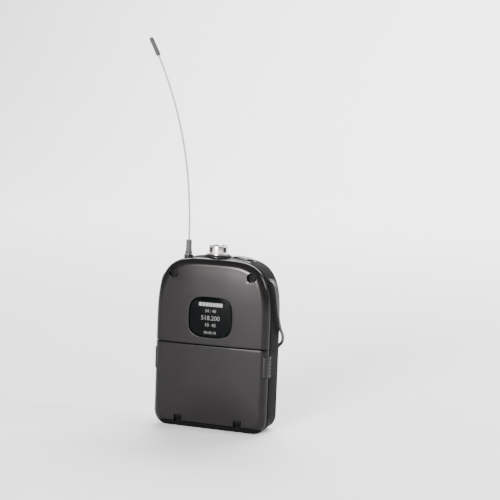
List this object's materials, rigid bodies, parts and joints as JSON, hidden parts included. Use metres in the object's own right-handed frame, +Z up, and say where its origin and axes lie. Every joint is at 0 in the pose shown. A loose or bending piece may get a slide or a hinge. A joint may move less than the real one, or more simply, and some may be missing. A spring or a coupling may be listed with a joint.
{
  "type": "wireless bodypack transmitter",
  "caption": "Pocket-size radio bodypack with domed metal case, hinged battery door, whip antenna, mini multipin input, power button and wire belt clip.",
  "frame": {"origin": "middle of the flat bottom face of the case", "axes": "+Z up towards the antenna, +X right seen from the display side, the display faces -Y, the belt clip is at +Y"},
  "size_m": [0.0847, 0.0326, 0.2218],
  "materials": {
    "case_paint": "semi-gloss black paint with a fine texture",
    "black_plastic": "matt black moulded plastic",
    "gloss_black": "polished black",
    "rubber": "dark grey rubber",
    "nickel": "bright nickel plate",
    "steel": "plain steel",
    "dark_steel": "blackened steel",
    "gold": "gold plate",
    "whip_wire": "light grey coated wire",
    "circuit_board": "green solder mask",
    "cell_wrap": "silver-white wrap",
    "light_guide": "pale green clear plastic"
  },
  "bodies": {
    "housing": {"front_shell": "case_paint", "rear_shell": "case_paint", "battery_tray": "black_plastic", "display_module": "black_plastic", "audio_chip": "black_plastic", "battery_cap": "black_plastic", "contact_block": "black_plastic", "socket_insert": "black_plastic", "power_switch": "black_plastic", "power_rim": "black_plastic", "socket_bezel": "black_plastic", "display_window": "gloss_black", "back_label": "gloss_black", "infrared_window": "gloss_black", "shell_seal": "rubber", "rf_shield": "nickel", "socket_barrel": "nickel", "board_screw_left": "steel", "board_screw_right": "steel", "door_hinge_pin": "steel", "antenna_jack": "dark_steel", "case_screw_left": "dark_steel", "case_screw_right": "dark_steel", "tray_screw_left": "dark_steel", "tray_screw_right": "dark_steel", "charge_contact_left": "gold", "charge_contact_right": "gold", "battery_contact": "gold", "battery_spring_1": "gold", "battery_spring_2": "gold", "battery_spring_3": "gold", "socket_pin_1": "gold", "socket_pin_2": "gold", "socket_pin_3": "gold", "socket_pin_4": "gold", "main_board": "circuit_board", "battery_case": "cell_wrap", "power_light": "light_guide"},
    "battery_door": {"battery_door": "case_paint", "latch_spring_left": "steel", "latch_spring_right": "steel"},
    "latch_left": {"latch_tab_left": "black_plastic"},
    "latch_right": {"latch_tab_right": "black_plastic"},
    "power_button": {"power_button": "gloss_black"},
    "menu_button_1": {"menu_button_1": "rubber"},
    "menu_button_2": {"menu_button_2": "rubber"},
    "menu_button_3": {"menu_button_3": "rubber"},
    "antenna": {"antenna_ferrule": "nickel", "antenna_boot": "rubber", "antenna_whip": "whip_wire", "antenna_cap": "rubber"},
    "belt_clip": {"belt_clip": "dark_steel"}
  },
  "joints": [
    {"name": "door_hinge", "type": "hinge", "parent": "housing", "child": "battery_door", "pos_m": [0, -0.009, 0.0066], "axis": [1, 0, 0], "range_deg": [0, 92]},
    {"name": "latch_left_squeeze", "type": "slide", "parent": "battery_door", "child": "latch_left", "axis": [1, 0, 0], "range_m": [0, 0.0012], "stiffness_N_per_m": 800},
    {"name": "latch_right_squeeze", "type": "slide", "parent": "battery_door", "child": "latch_right", "axis": [-1, 0, 0], "range_m": [0, 0.0012], "stiffness_N_per_m": 800},
    {"name": "power_press", "type": "slide", "parent": "housing", "child": "power_button", "axis": [0, 0, -1], "range_m": [0, 0.0007], "stiffness_N_per_m": 1500},
    {"name": "menu_press_1", "type": "slide", "parent": "housing", "child": "menu_button_1", "axis": [0, 1, 0], "range_m": [0, 0.0004], "stiffness_N_per_m": 1500},
    {"name": "menu_press_2", "type": "slide", "parent": "housing", "child": "menu_button_2", "axis": [0, 1, 0], "range_m": [0, 0.0004], "stiffness_N_per_m": 1500},
    {"name": "menu_press_3", "type": "slide", "parent": "housing", "child": "menu_button_3", "axis": [0, 1, 0], "range_m": [0, 0.0004], "stiffness_N_per_m": 1500},
    {"name": "antenna_turn", "type": "hinge", "parent": "housing", "child": "antenna", "pos_m": [-0.0196, 0.0014, 0.098], "axis": [0, 0, 1], "continuous": true},
    {"name": "clip_swing", "type": "hinge", "parent": "housing", "child": "belt_clip", "pos_m": [0, -0.0005, 0.087], "axis": [1, 0, 0], "range_deg": [0, 18], "stiffness_Nm_per_rad": 1.5}
  ]
}
